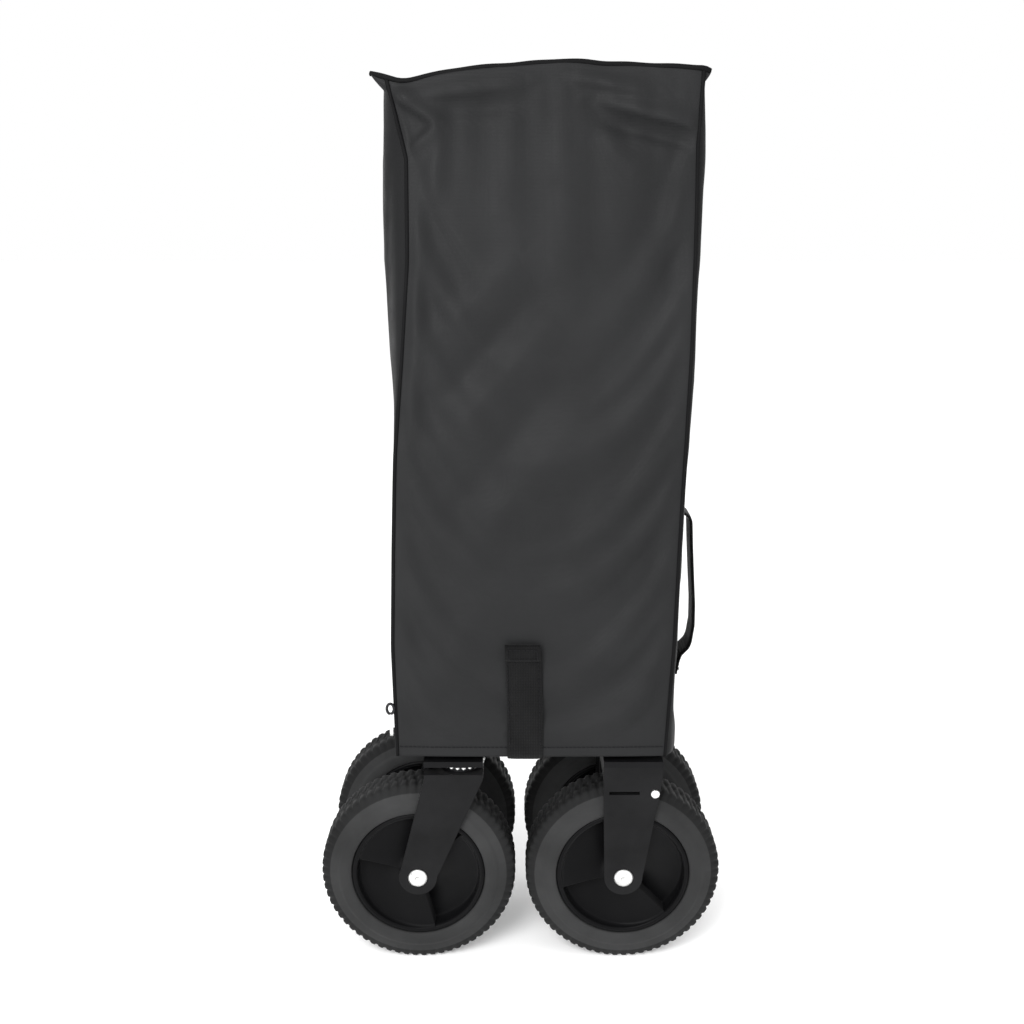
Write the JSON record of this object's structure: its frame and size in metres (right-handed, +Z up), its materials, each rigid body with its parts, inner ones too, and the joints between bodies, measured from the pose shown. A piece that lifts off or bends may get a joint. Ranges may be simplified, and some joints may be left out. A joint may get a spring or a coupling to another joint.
{
  "type": "folding camp wagon",
  "caption": "Folding camp wagon folded four ways, standing on its wheels under a slip-over storage cover, with scissor frame, casters and pull handle.",
  "frame": {"origin": "on the ground under the middle of the bounding box, folded and standing on its wheels", "axes": "+X to the rear (fixed wheels), -X to the front (casters, handle), -Y near side, +Z up"},
  "size_m": [0.402, 0.177, 0.865],
  "materials": {
    "cover_cloth": "matt woven cloth",
    "webbing": "webbing",
    "basket_cloth": "coated cloth",
    "floor_board": "cloth-covered board",
    "zinc": "zinc plated",
    "tyre": "matt",
    "wheel_plastic": "fine texture",
    "grip_rubber": "matt",
    "black_plastic": "fine texture",
    "powder_coat": "satin black powder coat"
  },
  "bodies": {
    "front_near_corner": {"front_near_corner_block": "black_plastic", "front_near_post": "powder_coat", "front_near_swivel_bearing": "zinc"},
    "front_near_hub": {"front_near_upper_hub": "black_plastic"},
    "front_near_caster": {"front_near_fork": "powder_coat", "front_near_axle": "zinc"},
    "front_near_wheel": {"front_near_tyre": "tyre", "front_near_rim": "wheel_plastic"},
    "rear_near_corner": {"rear_near_corner_block": "black_plastic", "rear_near_post": "powder_coat", "rear_near_fork": "powder_coat", "rear_near_axle": "zinc"},
    "rear_near_hub": {"rear_near_upper_hub": "black_plastic"},
    "rear_near_wheel": {"rear_near_tyre": "tyre", "rear_near_rim": "wheel_plastic"},
    "front_far_corner": {"front_far_corner_block": "black_plastic", "front_far_post": "powder_coat", "front_far_swivel_bearing": "zinc"},
    "front_far_hub": {"front_far_upper_hub": "black_plastic"},
    "front_far_caster": {"front_far_fork": "powder_coat", "front_far_axle": "zinc"},
    "front_far_wheel": {"front_far_tyre": "tyre", "front_far_rim": "wheel_plastic"},
    "rear_far_corner": {"rear_far_corner_block": "black_plastic", "rear_far_post": "powder_coat", "rear_far_fork": "powder_coat", "rear_far_axle": "zinc"},
    "rear_far_hub": {"rear_far_upper_hub": "black_plastic"},
    "rear_far_wheel": {"rear_far_tyre": "tyre", "rear_far_rim": "wheel_plastic"},
    "near_rising_arm_1": {"near_rising_arm_1": "powder_coat"},
    "near_falling_arm_1": {"near_falling_arm_1": "powder_coat"},
    "near_rising_arm_2": {"near_rising_arm_2": "powder_coat"},
    "near_falling_arm_2": {"near_falling_arm_2": "powder_coat"},
    "front_rising_arm": {"front_rising_arm": "powder_coat"},
    "front_falling_arm": {"front_falling_arm": "powder_coat"},
    "rear_rising_arm": {"rear_rising_arm": "powder_coat"},
    "rear_falling_arm": {"rear_falling_arm": "powder_coat"},
    "far_rising_arm_1": {"far_rising_arm_1": "powder_coat"},
    "far_falling_arm_1": {"far_falling_arm_1": "powder_coat"},
    "far_rising_arm_2": {"far_rising_arm_2": "powder_coat"},
    "far_falling_arm_2": {"far_falling_arm_2": "powder_coat"},
    "handle_bracket": {"handle_bracket": "powder_coat"},
    "handle_tube": {"handle_tube": "powder_coat"},
    "handle_stem": {"handle_stem": "powder_coat", "handle_grip": "grip_rubber"},
    "cover": {"cover_shell": "cover_cloth", "cover_strap": "webbing", "carry_handle": "webbing", "zip_pull": "zinc"},
    "near_wall": {"near_wall_fabric": "basket_cloth"},
    "far_wall": {"far_wall_fabric": "basket_cloth"},
    "front_wall": {"front_wall_fabric": "basket_cloth"},
    "rear_wall": {"rear_wall_fabric": "basket_cloth"},
    "near_front_floor_leaf": {"near_front_floor_leaf": "floor_board"},
    "near_rear_floor_leaf": {"near_rear_floor_leaf": "floor_board"},
    "far_front_floor_leaf": {"far_front_floor_leaf": "floor_board"},
    "far_rear_floor_leaf": {"far_rear_floor_leaf": "floor_board"}
  },
  "joints": [
    {"name": "unfold", "type": "hinge", "parent": "front_near_corner", "child": "near_rising_arm_1", "pos_m": [-0.059, -0.0685, 0.255], "axis": [0, 1, 0], "range_deg": [0, 44.91]},
    {"name": "near_scissor_1", "type": "hinge", "parent": "near_rising_arm_1", "child": "near_falling_arm_1", "pos_m": [-0.0185, -0.0685, 0.51183], "axis": [0, -1, 0], "range_deg": [0, 89.82]},
    {"name": "near_lower_knuckle", "type": "hinge", "parent": "near_falling_arm_1", "child": "near_rising_arm_2", "pos_m": [0.022, -0.0685, 0.255], "axis": [0, 1, 0], "range_deg": [0, 89.82]},
    {"name": "near_scissor_2", "type": "hinge", "parent": "near_rising_arm_2", "child": "near_falling_arm_2", "pos_m": [0.0625, -0.0685, 0.51183], "axis": [0, -1, 0], "range_deg": [0, 89.82]},
    {"name": "rear_near_corner_pivot", "type": "hinge", "parent": "near_falling_arm_2", "child": "rear_near_corner", "pos_m": [0.103, -0.0685, 0.255], "axis": [0, 1, 0], "range_deg": [0, 44.91]},
    {"name": "rear_near_hub_pivot", "type": "hinge", "parent": "near_rising_arm_2", "child": "rear_near_hub", "pos_m": [0.103, -0.0685, 0.76865], "axis": [0, -1, 0], "range_deg": [0, 44.91]},
    {"name": "front_near_hub_pivot", "type": "hinge", "parent": "near_falling_arm_1", "child": "front_near_hub", "pos_m": [-0.059, -0.0405, 0.76865], "axis": [0, 1, 0], "range_deg": [0, 44.91]},
    {"name": "front_side_pivot", "type": "hinge", "parent": "front_near_corner", "child": "front_rising_arm", "pos_m": [-0.087, -0.0405, 0.255], "axis": [-1, 0, 0], "range_deg": [0, 44.91]},
    {"name": "front_scissor", "type": "hinge", "parent": "front_rising_arm", "child": "front_falling_arm", "pos_m": [-0.087, 0, 0.51183], "axis": [1, 0, 0], "range_deg": [0, 89.82]},
    {"name": "front_far_corner_pivot", "type": "hinge", "parent": "front_falling_arm", "child": "front_far_corner", "pos_m": [-0.087, 0.0405, 0.255], "axis": [-1, 0, 0], "range_deg": [0, 44.91]},
    {"name": "front_far_hub_pivot", "type": "hinge", "parent": "front_rising_arm", "child": "front_far_hub", "pos_m": [-0.087, 0.0405, 0.76865], "axis": [1, 0, 0], "range_deg": [0, 44.91]},
    {"name": "far_side_pivot", "type": "hinge", "parent": "front_far_corner", "child": "far_rising_arm_1", "pos_m": [-0.059, 0.0685, 0.255], "axis": [0, 1, 0], "range_deg": [0, 44.91]},
    {"name": "far_scissor_1", "type": "hinge", "parent": "far_rising_arm_1", "child": "far_falling_arm_1", "pos_m": [-0.0185, 0.0685, 0.51183], "axis": [0, -1, 0], "range_deg": [0, 89.82]},
    {"name": "far_lower_knuckle", "type": "hinge", "parent": "far_falling_arm_1", "child": "far_rising_arm_2", "pos_m": [0.022, 0.0685, 0.255], "axis": [0, 1, 0], "range_deg": [0, 89.82]},
    {"name": "far_scissor_2", "type": "hinge", "parent": "far_rising_arm_2", "child": "far_falling_arm_2", "pos_m": [0.0625, 0.0685, 0.51183], "axis": [0, -1, 0], "range_deg": [0, 89.82]},
    {"name": "rear_far_corner_pivot", "type": "hinge", "parent": "far_falling_arm_2", "child": "rear_far_corner", "pos_m": [0.103, 0.0685, 0.255], "axis": [0, 1, 0], "range_deg": [0, 44.91]},
    {"name": "rear_far_hub_pivot", "type": "hinge", "parent": "far_rising_arm_2", "child": "rear_far_hub", "pos_m": [0.103, 0.0685, 0.76865], "axis": [0, -1, 0], "range_deg": [0, 44.91]},
    {"name": "rear_side_pivot", "type": "hinge", "parent": "rear_near_corner", "child": "rear_rising_arm", "pos_m": [0.131, -0.0405, 0.255], "axis": [-1, 0, 0], "range_deg": [0, 44.91]},
    {"name": "rear_scissor", "type": "hinge", "parent": "rear_rising_arm", "child": "rear_falling_arm", "pos_m": [0.131, 0, 0.51183], "axis": [1, 0, 0], "range_deg": [0, 89.82]},
    {"name": "handle_bracket_pivot", "type": "hinge", "parent": "front_rising_arm", "child": "handle_bracket", "pos_m": [-0.087, 0, 0.51183], "axis": [1, 0, 0], "range_deg": [0, 44.91]},
    {"name": "handle_tilt", "type": "hinge", "parent": "handle_bracket", "child": "handle_tube", "pos_m": [-0.107, 0, 0.51183], "axis": [0, -1, 0], "range_deg": [0, 50]},
    {"name": "handle_extend", "type": "slide", "parent": "handle_tube", "child": "handle_stem", "axis": [0, 0, 1], "range_m": [0, 0.20001]},
    {"name": "cover_lift", "type": "slide", "parent": "front_near_corner", "child": "cover", "axis": [0, 0, 1], "range_m": [0, 0.65001], "deforming": ["cover_shell", "cover_strap", "carry_handle", "zip_pull"]},
    {"name": "near_wall_spread", "type": "slide", "parent": "front_near_hub", "child": "near_wall", "axis": [1, 0, 0], "range_m": [0, 0.67801], "deforming": ["near_wall_fabric"]},
    {"name": "far_wall_spread", "type": "slide", "parent": "front_far_hub", "child": "far_wall", "axis": [1, 0, 0], "range_m": [0, 0.67801], "deforming": ["far_wall_fabric"]},
    {"name": "front_wall_spread", "type": "slide", "parent": "front_near_hub", "child": "front_wall", "axis": [0, 1, 0], "range_m": [0, 0.33901], "deforming": ["front_wall_fabric"]},
    {"name": "rear_wall_spread", "type": "slide", "parent": "rear_near_hub", "child": "rear_wall", "axis": [0, 1, 0], "range_m": [0, 0.33901], "deforming": ["rear_wall_fabric"]},
    {"name": "near_floor_drop", "type": "hinge", "parent": "front_near_corner", "child": "near_front_floor_leaf", "pos_m": [0, -0.014, 0.262], "axis": [-1, 0, 0], "range_deg": [0, 90], "deforming": ["near_front_floor_leaf"]},
    {"name": "near_floor_spread", "type": "slide", "parent": "near_front_floor_leaf", "child": "near_rear_floor_leaf", "axis": [1, 0, 0], "range_m": [0, 0.67801], "deforming": ["near_rear_floor_leaf"]},
    {"name": "far_floor_drop", "type": "hinge", "parent": "front_far_corner", "child": "far_front_floor_leaf", "pos_m": [0, 0.014, 0.262], "axis": [1, 0, 0], "range_deg": [0, 90], "deforming": ["far_front_floor_leaf"]},
    {"name": "far_floor_spread", "type": "slide", "parent": "far_front_floor_leaf", "child": "far_rear_floor_leaf", "axis": [1, 0, 0], "range_m": [0, 0.67801], "deforming": ["far_rear_floor_leaf"]},
    {"name": "front_near_swivel", "type": "hinge", "parent": "front_near_corner", "child": "front_near_caster", "pos_m": [-0.059, -0.057, 0.211], "axis": [0, 0, 1], "range_deg": [0, 45]},
    {"name": "front_near_wheel_spin", "type": "hinge", "parent": "front_near_caster", "child": "front_near_wheel", "pos_m": [-0.103, -0.057, 0.098], "axis": [0, 1, 0], "continuous": true},
    {"name": "rear_near_wheel_spin", "type": "hinge", "parent": "rear_near_corner", "child": "rear_near_wheel", "pos_m": [0.103, -0.057, 0.098], "axis": [0, 1, 0], "continuous": true},
    {"name": "front_far_swivel", "type": "hinge", "parent": "front_far_corner", "child": "front_far_caster", "pos_m": [-0.059, 0.057, 0.211], "axis": [0, 0, -1], "range_deg": [0, 45]},
    {"name": "front_far_wheel_spin", "type": "hinge", "parent": "front_far_caster", "child": "front_far_wheel", "pos_m": [-0.103, 0.057, 0.098], "axis": [0, 1, 0], "continuous": true},
    {"name": "rear_far_wheel_spin", "type": "hinge", "parent": "rear_far_corner", "child": "rear_far_wheel", "pos_m": [0.103, 0.057, 0.098], "axis": [0, 1, 0], "continuous": true}
  ],
  "couplings": [
    {"joint": "near_scissor_1", "follows": "unfold", "ratio": 2},
    {"joint": "near_lower_knuckle", "follows": "unfold", "ratio": 2},
    {"joint": "near_scissor_2", "follows": "unfold", "ratio": 2},
    {"joint": "rear_near_corner_pivot", "follows": "unfold", "ratio": 1},
    {"joint": "rear_near_hub_pivot", "follows": "unfold", "ratio": 1},
    {"joint": "front_near_hub_pivot", "follows": "unfold", "ratio": 1},
    {"joint": "front_side_pivot", "follows": "unfold", "ratio": 1},
    {"joint": "front_scissor", "follows": "unfold", "ratio": 2},
    {"joint": "front_far_corner_pivot", "follows": "unfold", "ratio": 1},
    {"joint": "front_far_hub_pivot", "follows": "unfold", "ratio": 1},
    {"joint": "far_side_pivot", "follows": "unfold", "ratio": 1},
    {"joint": "far_scissor_1", "follows": "unfold", "ratio": 2},
    {"joint": "far_lower_knuckle", "follows": "unfold", "ratio": 2},
    {"joint": "far_scissor_2", "follows": "unfold", "ratio": 2},
    {"joint": "rear_far_corner_pivot", "follows": "unfold", "ratio": 1},
    {"joint": "rear_far_hub_pivot", "follows": "unfold", "ratio": 1},
    {"joint": "rear_side_pivot", "follows": "unfold", "ratio": 1},
    {"joint": "rear_scissor", "follows": "unfold", "ratio": 2},
    {"joint": "handle_bracket_pivot", "follows": "unfold", "ratio": 1},
    {"joint": "handle_tilt", "follows": "unfold", "ratio": 1.1133},
    {"joint": "handle_extend", "follows": "unfold", "m_per_rad": 0.25516},
    {"joint": "cover_lift", "follows": "unfold", "m_per_rad": 0.82927},
    {"joint": "near_wall_spread", "follows": "unfold", "m_per_rad": 0.86499},
    {"joint": "far_wall_spread", "follows": "unfold", "m_per_rad": 0.86499},
    {"joint": "front_wall_spread", "follows": "unfold", "m_per_rad": 0.4325},
    {"joint": "rear_wall_spread", "follows": "unfold", "m_per_rad": 0.4325},
    {"joint": "near_floor_drop", "follows": "unfold", "ratio": 2.004},
    {"joint": "near_floor_spread", "follows": "unfold", "m_per_rad": 0.86499},
    {"joint": "far_floor_drop", "follows": "unfold", "ratio": 2.004},
    {"joint": "far_floor_spread", "follows": "unfold", "m_per_rad": 0.86499}
  ]
}
